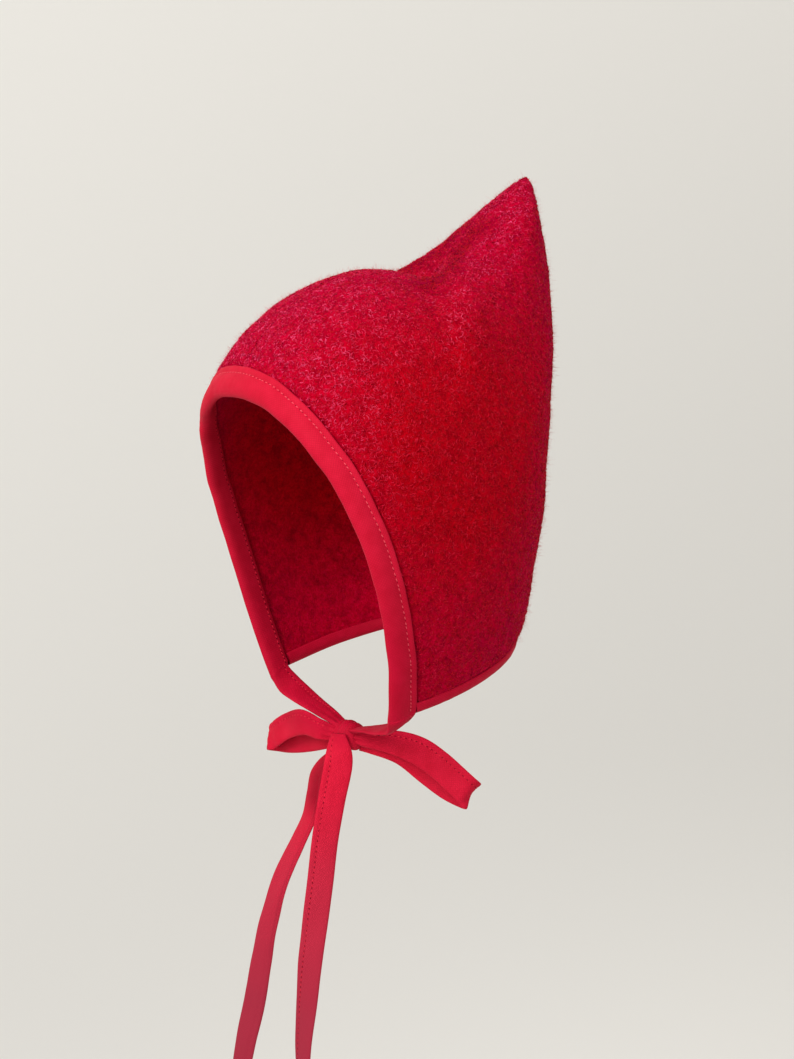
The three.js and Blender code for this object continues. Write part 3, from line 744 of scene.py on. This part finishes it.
# Tape of the ties and the bow
def route_frames(rows, step=0.8, samples=600):
    """Even stations along a route: places, directions along, across and out of the tape, and widths."""
    points = np.stack([rows["x"], rows["y"], rows["z"]], axis=-1)
    knots = np.concatenate([[0], np.cumsum(np.sqrt(np.linalg.norm(np.diff(points, axis=0), axis=1)))])

    def line_at(at):
        return np.stack([curve_through(knots, points[:, axis], at) for axis in range(3)], axis=-1)

    fine = np.linspace(0, knots[-1], samples)
    along = run_length(line_at(fine))
    stations = max(8, int(along[-1] / step))
    at = np.interp(np.linspace(0, along[-1], stations), along, fine)
    centre = line_at(at)
    forward = unit(np.gradient(centre, axis=0))
    turn, tilt = (np.radians(curve_through(knots, rows[key], at)) for key in ("turn", "tilt"))
    across = np.stack([np.cos(tilt) * np.cos(turn), np.cos(tilt) * np.sin(turn), np.sin(tilt)], axis=-1)
    across = unit(across - forward * (across * forward).sum(-1, keepdims=True))
    return centre, forward, across, np.cross(forward, across), curve_through(knots, rows["width"], at)


def grow_from(start_ring, ring, centre, forward, across, out, distance, way=12):
    """Rings of a tape that begin as a given ring and change over a short way into the tape's own."""
    local = start_ring - centre[0]
    if (local @ out[0])[:len(local) // 2].mean() < 0:
        local = local[::-1]
    keep = (1 - smooth_step(distance, 0, way))[:, None, None]
    carried = (centre[:, None] + across[:, None] * (local @ across[0])[:, None]
               + out[:, None] * (local @ out[0])[:, None]
               + forward[:, None] * (local @ forward[0])[:, None] * keep)
    return carried * keep + ring * (1 - keep)


def tape_piece(name, rows, node, seed, stitched=1, start_ring=None, notch=0.0, sewn_sides=(1, -1),
               shadow=None):
    """Folded tape along a route, with one row of stitches near an edge and gathers where it is narrow."""
    puff, sway_height, sway_length, gather_height, gather_below = 0.25, 0.55, 17, 0.9, 11
    centre, forward, across, out, width = route_frames(rows)
    distance = run_length(centre)
    half = np.linspace(0, math.pi, TAPE_COLUMNS)
    aside = np.concatenate([np.cos(half), -np.cos(half)])
    face = np.repeat([1.0, -1.0], TAPE_COLUMNS)
    seam = stitched * (1 - 2 * STITCH["line"] / FACE_TAPE_WIDTH)
    crown = np.cos(aside * math.pi / 2)
    body = np.sqrt(np.maximum(0.0, 1 - np.abs(aside) ** 8))
    groove = hump(aside, height=0.32, middle=seam, width=0.07)
    height = face * (TAPE_THICKNESS / 2 * body * (1 + puff * crown) - groove * body)
    gather = np.clip(1 - width / gather_below, 0, 1)[:, None]
    sway = np.array([[noise.noise((far / sway_length + seed * 3.1, side * 0.8, seed)) for side in aside]
                     for far in distance])
    pucker = hump(aside, height=0.09, middle=seam, width=0.2)
    pucker = pucker * np.sin(2 * math.pi * distance / STITCH["pitch"])[:, None]
    fold = distance[np.argmax(np.linalg.norm(centre - centre[0], axis=1))]
    dent = hump(distance, height=notch, middle=fold, width=2.5)[:, None] * crown
    gathers = gather_height * gather * np.cos(3 * math.pi * aside)
    lift = height + sway_height * sway + pucker + dent + gathers
    ring = (centre[:, None, :] + across[:, None, :] * (aside * width[:, None] / 2)[..., None]
            + out[:, None, :] * lift[..., None])
    if start_ring is not None:
        ring = grow_from(start_ring, ring, centre, forward, across, out, distance)
    weave = np.broadcast_arrays(aside * width[:, None] / 2, distance[:, None])
    shadows = None if shadow is None else shadow(aside, distance[:, None]).ravel()
    faces = tube_faces(len(centre), len(aside))
    piece = new_piece(name, ring.reshape(-1, 3), faces, cotton, shadows, weave)
    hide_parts(node)
    at, after = stitch_stations(distance)
    plain = gather[at, 0] < 0.25
    at, after = at[plain], after[plain]
    for side in sewn_sides:
        first = 0 if side == 1 else TAPE_COLUMNS
        column = first + int(np.argmin(np.abs(aside[first:first + TAPE_COLUMNS] - seam)))
        ups = side * out[at]
        add_stitches(ring[at, column] + ups * 0.05, forward[at], ups, ring[after, column], 0.45)
    return piece, place(centre), distance[-1] * METRES


def back_tail_shadow(across, along):
    """Shadow on the back tail: close behind the front tail, and along its own folded edge."""
    behind = (1 - smooth_step(along, 26, 40)) * (0.5 + 0.5 * smooth_step(across, -0.8, 0.2))
    edge = hump(across, height=0.5, middle=0.77, width=0.09)
    return behind + edge * smooth_step(along, 22, 34) * (1 - smooth_step(along, 90, 130))


def knot_piece(turns=72, steps=41, pleat=0.07):
    """Wrap of tape round the middle of the bow, with gathers round it and rims that turn in."""
    angle = np.linspace(0, 2 * math.pi, turns, endpoint=False)
    turn, along = np.meshgrid(angle, np.linspace(-1, 1, steps), indexing="xy")
    rim = np.abs(along) ** 6
    pleats = pleat * np.cos(3 * math.pi * along + 0.9 * np.sin(turn)) * (1 - rim)
    size = (1 - 0.1 * along ** 2) * (1 - 0.5 * rim) + pleats
    shape = np.stack([
        along * KNOT["half_length"] * (1 - 0.06 * rim),
        np.cos(turn) * KNOT["depth"] * size,
        np.sin(turn) * KNOT["height"] * size], axis=-1)
    points = (KNOT["centre"] + shape).reshape(-1, 3)
    weave = (along * KNOT["half_length"], np.abs(turn - math.pi) * KNOT["height"])
    piece = new_piece("knot_wrap", points, tube_faces(steps, turns), cotton, weave=weave)
    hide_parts("bow_knot")
    return piece


left_loop, left_loop_path, left_loop_length = tape_piece(
    "near_bow_loop", LEFT_LOOP_ROUTE, "bow_loop_left", 1.0, notch=-1.3)
right_loop, right_loop_path, right_loop_length = tape_piece(
    "far_bow_loop", RIGHT_LOOP_ROUTE, "bow_loop_right", 2.0, notch=-0.8)
left_tail, left_tail_path, left_tail_length = tape_piece(
    "front_tail", LEFT_TAIL_ROUTE, "tie_tail_left", 3.0, stitched=-1)
right_tail, right_tail_path, right_tail_length = tape_piece(
    "back_tail", RIGHT_TAIL_ROUTE, "tie_tail_right", 4.0, sewn_sides=(-1,), shadow=back_tail_shadow)
knot = knot_piece()


# Bindings
def rim_stations(line, shares, towards):
    """Places along a whole rim from its left end round to the right, and the ways along and inward."""
    left = spaced(line, shares)
    points = np.concatenate([left, left[-2::-1] * [-1, 1, 1]])
    along = unit(np.gradient(points, axis=0))
    inward = unit(np.cross(along, points))
    inward *= np.sign((inward * towards).sum(-1, keepdims=True))
    return points, along, inward


def binding_piece(name, node, stations, profile, width, waviness, seed, slant=0.0):
    """Tape folded over a rim: a puffed outside leg, a round fold and an inside leg."""
    skin, puff_height, crease_height, slant_length = 0.2, 0.22, 0.13, 7
    points, along, inward = stations
    distance = run_length(points)
    wave, slow = (np.array([noise.noise((far / length, seed, row)) for far in distance])
                  for length, row in ((13, 0.5), (34, 7.5)))
    across, depth = profile[:, 0], profile[:, 1]
    puff = np.where(depth < WOOL / 2, -1, 1) * np.sin(np.clip(across / width, 0, 1) * math.pi)
    outside = (depth < -skin) | (depth > WOOL + skin)
    crease = np.array([[noise.noise((far / 3.2 + 0.35 * away, away / 5, seed + 3)) for away in across]
                       for far in distance])
    depths = depth + outside * (puff_height * wave[:, None] * puff + crease_height * crease)
    far_brow = smooth_step(-points[:, 0], 5, 45) * smooth_step(points[:, 2], -20, 20)
    wander = 0.6 * slow + 0.4 * wave + far_brow * (0.8 * wave - 0.5)
    shift = across + (waviness * wander)[:, None]
    ends = hump(distance, 1, 0, slant_length) - hump(distance, 1, distance[-1], slant_length)
    towards = (points[:, None, :] + inward[:, None, :] * shift[..., None]
               + along[:, None, :] * (slant * ends[:, None] * across / width)[..., None])
    ring = shell_point(towards, depths)
    faces = grid_faces(len(points), len(profile), closed=True)
    weave = np.broadcast_arrays(across, distance[:, None])
    piece = new_piece(name, ring.reshape(-1, 3), faces, cotton, weave=weave)
    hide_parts(node)
    return piece, ring, distance


face_rim_line, neck_rim_line = edge_lines(0)
face_stations = rim_stations(face_rim_line, np.linspace(0, 1, 220), np.array([0.0, 1, 0]))
face_along = face_stations[1]
face_binding, face_ring, face_distance = binding_piece(
    "face_binding_tape", "face_binding", face_stations, FACE_PROFILE, FACE_TAPE_WIDTH, waviness=1.1,
    seed=1.0, slant=4.0)

neck_start = (FACE_TAPE_WIDTH + NECK_TUCK) / run_length(neck_rim_line)[-1]
neck_shares = np.linspace(neck_start, 1, 110)
neck_stations = rim_stations(neck_rim_line, neck_shares, np.array([0.0, 0, 1]))
neck_binding, _, neck_distance = binding_piece(
    "neck_binding_tape", "neck_binding", neck_stations, NECK_PROFILE, NECK_TAPE_WIDTH, waviness=0.35,
    seed=2.0)


def sew_face_row(leg, from_fold, side, lift, tone):
    """Row of stitches along a leg of the face binding; the side is 1 outside and -1 inside."""
    at, after = stitch_stations(face_distance)
    column = leg.start + int(np.argmin(np.abs(FACE_PROFILE[leg, 0] - from_fold)))
    places = face_ring[at, column]
    ups = side * surface_normal(unit(places))
    add_stitches(places + ups * lift, face_along[at], ups, face_ring[after, column], tone)


sew_face_row(OUTSIDE_LEG, from_fold=9.25, side=1, lift=0.07, tone=0.72)
sew_face_row(INSIDE_LEG, from_fold=9.0, side=-1, lift=0.02, tone=0.5)


# Straps from the ends of the face binding to the knot
def binding_end(station):
    """Outline of an end of the face binding, from its edge on the wool to its inside edge."""
    fold = int(np.argmin(FACE_PROFILE[:, 0]))
    share = (1 - np.cos(np.linspace(0, math.pi, TAPE_COLUMNS))) / 2
    outside_leg = spaced(face_ring[station, :fold + 1], share)
    inside_leg = spaced(face_ring[station, fold:INSIDE_LEG.stop], share)
    return np.concatenate([outside_leg, inside_leg])


def tie_rows(ring):
    """Route of the left tie, from the end of the face binding to the knot."""
    along, inward = face_along[0], face_stations[2][0]
    turn = math.degrees(math.atan2(inward[1], inward[0]))
    tilt = math.degrees(math.asin(inward[2]))
    lead = [(*(ring.mean(0) - along * below), turn, tilt + 6 * below, FACE_TAPE_WIDTH)
            for below in (0, 2.5)]
    return np.concatenate([np.array(lead, dtype=ROUTE), TIE_ROUTE])


left_rows = tie_rows(binding_end(0))
right_rows = left_rows.copy()
right_rows["x"] *= -1
right_rows["turn"] = 180 - right_rows["turn"]
for node, rows, station, seed in (("tie_left", left_rows, 0, 5.0), ("tie_right", right_rows, -1, 6.0)):
    tie, _, tie_length = tape_piece(node + "_strap", rows, node, seed, start_ring=binding_end(station))


# Crown panels
def panel_grid(rounds=160, tip_rounds=14, strength=0.6):
    """Outside of the left panel as a grid, with the peak's edges rounded as felt rounds them."""
    face, neck = edge_lines(EDGE_SETBACK)
    shares = np.linspace(0, 1, PANEL_STEPS + 1)
    lines = [face, neck, seam_line(face[-1]), seam_line(neck[-1])]
    face_edge, neck_edge, top_seam, back_seam = (spaced(line, shares) for line in lines)
    jaw, brow, nape, tip = face_edge[0], top_seam[0], back_seam[0], top_seam[-1]
    up = shares[:, None, None]
    behind = shares[None, :, None]
    patch = (face_edge[:, None] * (1 - behind) + back_seam[:, None] * behind
             + neck_edge[None] * (1 - up) + top_seam[None] * up
             - jaw * (1 - behind) * (1 - up) - brow * (1 - behind) * up
             - nape * behind * (1 - up) - tip * behind * up)
    direction = unit(patch)
    grid = direction * outer_radius(direction)[..., None]
    grid[-1, -1] = tip
    turn = math.radians(TIP_ANGLE)
    beside = np.abs(grid @ [0, math.sin(turn), math.cos(turn)])
    along = grid @ [0, -math.cos(turn), math.sin(turn)]
    firm = smooth_step(along, 110, 150)
    weight = (1 - smooth_step(beside, 8, 24)) * smooth_step(along, 8, 34)
    mirror = np.array([-1, 1, 1])
    for done in range(rounds):
        padded = np.concatenate([grid, grid[-2:-1] * mirror], axis=0)
        padded = np.concatenate([padded, padded[:, -2:-1] * mirror], axis=1)
        middle = (padded[:-2, 1:-1] + padded[2:, 1:-1] + padded[1:-1, :-2] + padded[1:-1, 2:]) / 4
        share = strength * weight * np.where(done < tip_rounds, 1, 1 - firm)
        grid[1:, 1:] += share[1:, 1:, None] * (middle - grid[1:, 1:])
    return grid


def rim_distance(points, line):
    """Distance of each point from the nearest point of a line."""
    tree = KDTree(len(line))
    for index, point in enumerate(line):
        tree.insert(point, index)
    tree.balance()
    flat = points.reshape(-1, 3)
    return np.array([tree.find(point)[2] for point in flat]).reshape(points.shape[:-1])


outer_grid = panel_grid()
outward = grid_normals(outer_grid)
outward *= np.sign((outward * outer_grid).sum(-1, keepdims=True))
face_away = rim_distance(outer_grid, spaced(face_rim_line, np.linspace(0, 1, 900)))
neck_away = rim_distance(outer_grid, spaced(neck_rim_line, np.linspace(0, 1, 700)))
seam_away = outer_grid[..., 0]


def crown_panel(name, node, side):
    """Felt wall of one side: outside with soft waves, pebbles and a seam valley, and a plain inside."""
    mirror = np.array([side, 1, 1])
    whole = outer_grid * mirror
    felt = waves(whole, OUTSIDE_WAVES)
    if side > 0:
        felt -= CREASE["depth"] * near_line(outer_grid, CREASE)
    under_tape = np.maximum(1 - smooth_step(face_away, 11.5, 13), 1 - smooth_step(neck_away, 5, 6))
    beside_tape = hump(face_away, *FACE_DIP) + hump(neck_away, *NECK_DIP)
    raised = (felt + PILE) * (1 - under_tape) - hump(seam_away, *SEAM_VALLEY) - beside_tape
    outside = outer_grid + outward * raised[..., None]
    inside = outer_grid - offset_way(outer_grid, unit(outer_grid), outward) * WOOL
    inside += outward * waves(inside * mirror, INSIDE_WAVES)[..., None]
    for skin in (outside, inside):
        skin[..., 0] = np.maximum(skin[..., 0], 0)
        skin[-1, :, 0] = 0
        skin[:, -1, 0] = 0
    count = PANEL_STEPS + 1
    size = count * count
    faces = [grid_faces(count, count), grid_faces(count, count, size)[:, ::-1]]
    index = np.arange(size).reshape(count, count)
    for edge in (index[0, ::-1], index[-1], index[:, 0], index[::-1, -1]):
        faces.append(np.stack([edge[:-1], edge[1:], edge[1:] + size, edge[:-1] + size], axis=-1))
    faces = np.concatenate(faces)
    points = np.concatenate([outside.reshape(-1, 3), inside.reshape(-1, 3)]) * mirror
    if side > 0:
        faces = faces[:, ::-1]
    # Painted shade on the felt: along each side of the hollow, in the seam valley and beside the face
    # tape
    tone = 1 - 0.6 * near_line(outer_grid, HOLLOW_PAINTED_SHADE) - hump(seam_away, *SEAM_SHADE)
    tone -= hump(face_away, *TAPE_SHADE)
    piece = new_piece(name, points, faces, wool, tone=np.tile(tone.ravel(), 2))
    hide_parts(node)
    return outside, inside


# Curls and loose fibres
def scatter(grid, normals, allowed, count, rng):
    """Random places on a grid, spread evenly over its area, with the normals there."""
    cells = cell_areas(grid) * allowed[:-1, :-1]
    chosen = rng.choice(cells.size, count, p=(cells / cells.sum()).ravel())
    row, column = np.divmod(chosen, cells.shape[1])
    down, across = rng.random((2, count, 1))

    def between(values):
        return (values[row, column] * (1 - down) * (1 - across)
                + values[row + 1, column] * down * (1 - across)
                + values[row, column + 1] * (1 - down) * across
                + values[row + 1, column + 1] * down * across)

    return between(grid), unit(between(normals))


def ribbons(name, lines, sideways, widths, tone):
    """Joined flat fibres: each a strip along a short line, to a pointed tip."""
    count, steps = lines.shape[:2]
    each = 2 * steps - 1
    half = (sideways * widths[..., None] / 2)[:, :-1]
    strip = np.stack([lines[:, :-1] - half, lines[:, :-1] + half], axis=2).reshape(count, -1, 3)
    points = np.concatenate([strip, lines[:, -1:]], axis=1)
    corner = 2 * np.arange(steps - 2)[:, None]
    tip = [[each - 3, each - 2, each - 1]]
    faces = np.concatenate([corner + [0, 1, 3], corner + [0, 3, 2], tip])
    faces = (faces[None] + (np.arange(count) * each)[:, None, None]).reshape(-1, 3)
    new_piece(name, points.reshape(-1, 3), faces, fibre, tone=np.repeat(tone, each))


def tangents(normals, rng):
    first = unit(np.cross(normals, unit(rng.normal(size=normals.shape))))
    return first, np.cross(normals, first)


def painted_light_and_clumps(places, normals):
    """Share of painted light on the fibres: most where they face front and up, least in the painted shade
    along the hollow, and varied in random clumps.
    """
    facing = 0.38 + 0.62 * smooth_step(normals @ PAINTED_LIGHT_WAY, 0.0, 0.9)
    clumped = np.clip(0.95 + 0.55 * waves(places, NAP_CLUMPS), 0.4, 1.3)
    return facing * clumped * (1 - 0.8 * near_line(places, HOLLOW_PAINTED_SHADE))


def drawn(rng, count, low, high):
    """Column of random values between a low and a high one."""
    return rng.uniform(low, high, (count, 1))


def wool_curls(name, places, normals, rng, kind, steps=4, sunk=0.06):
    """Short curls of wool that lie on the felt."""
    count = len(places)
    first, second = tangents(normals, rng)
    size = kind["length"] * drawn(rng, count, 0.6, 1.4)
    bend = drawn(rng, count, 1.0, 3.4) * rng.choice([-1, 1], (count, 1))
    share = np.linspace(0, 1, steps)[None]
    heading = bend * (share - 0.5)
    stride = size / (steps - 1)
    ahead = np.cumsum(np.cos(heading) * stride, axis=1) - size / 2
    aside = np.cumsum(np.sin(heading) * stride, axis=1)
    rise = kind["lift"] * drawn(rng, count, 0.5, 1.4) * np.sin(share * math.pi) - sunk
    lines = (places[:, None] + first[:, None] * ahead[..., None] + second[:, None] * aside[..., None]
             + normals[:, None] * rise[..., None])
    roll = drawn(rng, count, -0.8, 0.8)[..., None]
    flat = second[:, None] * np.cos(heading)[..., None] - first[:, None] * np.sin(heading)[..., None]
    sideways = flat * np.cos(roll) + normals[:, None] * np.sin(roll)
    widths = kind["width"] * drawn(rng, count, 0.6, 1.3) * np.sin(0.35 + share * 2.4)
    # Painted light, weaker on the inside curls, times a random tone
    tone = kind["light"] * rng.beta(1.9, 1.9, count) * painted_light_and_clumps(places, normals)
    ribbons(name, lines, sideways, widths, tone)


def wool_fibres(name, places, normals, rng, steps=3, longest=4.5, sunk=0.1, width=0.07):
    """Fine fibres that stand off the felt."""
    count = len(places)
    first, second = tangents(normals, rng)
    length = np.minimum(rng.gamma(2.4, 0.62, (count, 1)), longest)
    lean = drawn(rng, count, 0.3, 1.2)
    share = np.linspace(0, 1, steps)[None]
    heading = lean + rng.normal(0, 1.2, (count, 1)) * share
    stride = length / (steps - 1)
    out = (np.cumsum(np.cos(heading), axis=1) - np.cos(heading[:, :1])) * stride - sunk
    ahead = (np.cumsum(np.sin(heading), axis=1) - np.sin(heading[:, :1])) * stride
    aside = rng.normal(0, 0.25, (count, 1)) * length * share ** 2
    lines = (places[:, None] + normals[:, None] * out[..., None] + first[:, None] * ahead[..., None]
             + second[:, None] * aside[..., None])
    sideways = np.broadcast_to(second[:, None], lines.shape)
    widths = width * drawn(rng, count, 0.7, 1.3) * (1 - 0.4 * share)
    # Painted light times a random tone
    tone = 0.2 + 0.7 * rng.beta(1.2, 2.2, count) * painted_light_and_clumps(places, normals)
    ribbons(name, lines, sideways, widths, tone)


def clear_of_tape(face, neck):
    """1 where the felt is farther than this from each rim, and 0 where the tape covers it."""
    return ((face_away > face) & (neck_away > neck)).astype(float)


outside_shows = clear_of_tape(face=12.5, neck=5.5)
inside_shows = clear_of_tape(face=10.5, neck=5)
for name, side, seed in (("left", 1, 11), ("right", -1, 12)):
    outside, inside = crown_panel("felt_" + name, "crown_" + name, side)
    rng = np.random.default_rng(seed)
    mirror = np.array([side, 1, 1])
    places, normals = scatter(outside, outward, outside_shows, OUTSIDE_CURLS["count"], rng)
    wool_curls("wool_curls_" + name, places * mirror, normals * mirror, rng, OUTSIDE_CURLS)
    places, normals = scatter(outside, outward, outside_shows, FIBRES_PER_SIDE, rng)
    wool_fibres("wool_fuzz_" + name, places * mirror, normals * mirror, rng)
    places, normals = scatter(inside, -outward, inside_shows, INSIDE_CURLS["count"], rng)
    wool_curls("inside_curls_" + name, places * mirror, normals * mirror, rng, INSIDE_CURLS)

new_piece("stitches", np.concatenate(stitch_points), np.concatenate(stitch_faces), thread,
          tone=np.concatenate(stitch_tones))
# Dark discs of painted shade in the needle holes
new_piece("needle_holes", np.concatenate(hole_points), np.concatenate(hole_faces), hole_shade)


# Studio
def studio_sweep():
    """Round floor that curves up into a wall."""
    arc = np.linspace(0, math.pi / 2, SWEEP["bend_steps"])
    bend_radius = SWEEP["radius"] - SWEEP["bend"] + SWEEP["bend"] * np.sin(arc)
    bend_height = SWEEP["bend"] * (1 - np.cos(arc))
    radius = np.concatenate([SWEEP["inner_radii"], bend_radius, [SWEEP["radius"]]])
    height = np.concatenate([[0, 0], bend_height, [SWEEP["top"] - SWEEP["floor"]]]) + SWEEP["floor"]
    turn = np.linspace(0, 2 * math.pi, SWEEP["turns"], endpoint=False)
    points = np.stack([radius[:, None] * np.cos(turn), radius[:, None] * np.sin(turn),
                       np.repeat(height[:, None], len(turn), axis=1)], axis=-1)
    mesh = bpy.data.meshes.new("studio_sweep")
    faces = grid_faces(len(radius), len(turn), closed=True)[:, ::-1].tolist()
    mesh.from_pydata(points.reshape(-1, 3).tolist(), [], [list(range(len(turn))), *faces])
    for polygon in mesh.polygons:
        polygon.use_smooth = True
    mesh.materials.append(sweep_material())
    sweep = bpy.data.objects.new("studio_sweep", mesh)
    bpy.context.scene.collection.objects.link(sweep)


def area_light(name, direction, distance, size, power, colour, spread, aim=CROWN_MIDDLE):
    """Soft square light that shines from a direction at a place on the bonnet."""
    light = bpy.data.lights.new(name, "AREA")
    light.size = size
    light.energy = power
    light.spread = math.radians(spread)
    light.color = colour
    lamp = bpy.data.objects.new(name, light)
    lamp.location = aim + direction.normalized() * distance
    lamp.rotation_euler = direction.to_track_quat("Z", "Y").to_euler()
    bpy.context.scene.collection.objects.link(lamp)


studio_sweep()
to_right = Vector((back.y, -back.x, 0)).normalized() * -1
up = Vector((0, 0, 1))
area_light("key", back * 0.7 - to_right * 0.8 + up * 0.65,
           distance=0.95, size=0.7, power=1.3, colour=(1.0, 0.985, 0.96), spread=50)
area_light("fill", back * 0.95 + to_right * 0.3 + up * 0.3,
           distance=1.25, size=0.6, power=0.6, colour=(0.97, 0.98, 1.0), spread=60)
area_light("bow_glow", back - to_right * 0.35,
           distance=0.5, size=0.12, power=0.0075, colour=(1.0, 0.98, 0.96), spread=16, aim=BOW_MIDDLE)
area_light("rim", -back * 0.8 + to_right * 0.6 + up * 0.7,
           distance=1.1, size=0.7, power=0.4, colour=(1.0, 0.99, 0.97), spread=60)

world = bpy.data.worlds.new("studio")
bpy.context.scene.world = world
world.use_nodes = True
background = world.node_tree.nodes["Background"]
background.inputs["Color"].default_value = (1.0, 0.99, 0.97, 1)
background.inputs["Strength"].default_value = 0.65
bpy.context.scene.view_settings.view_transform = "Standard"
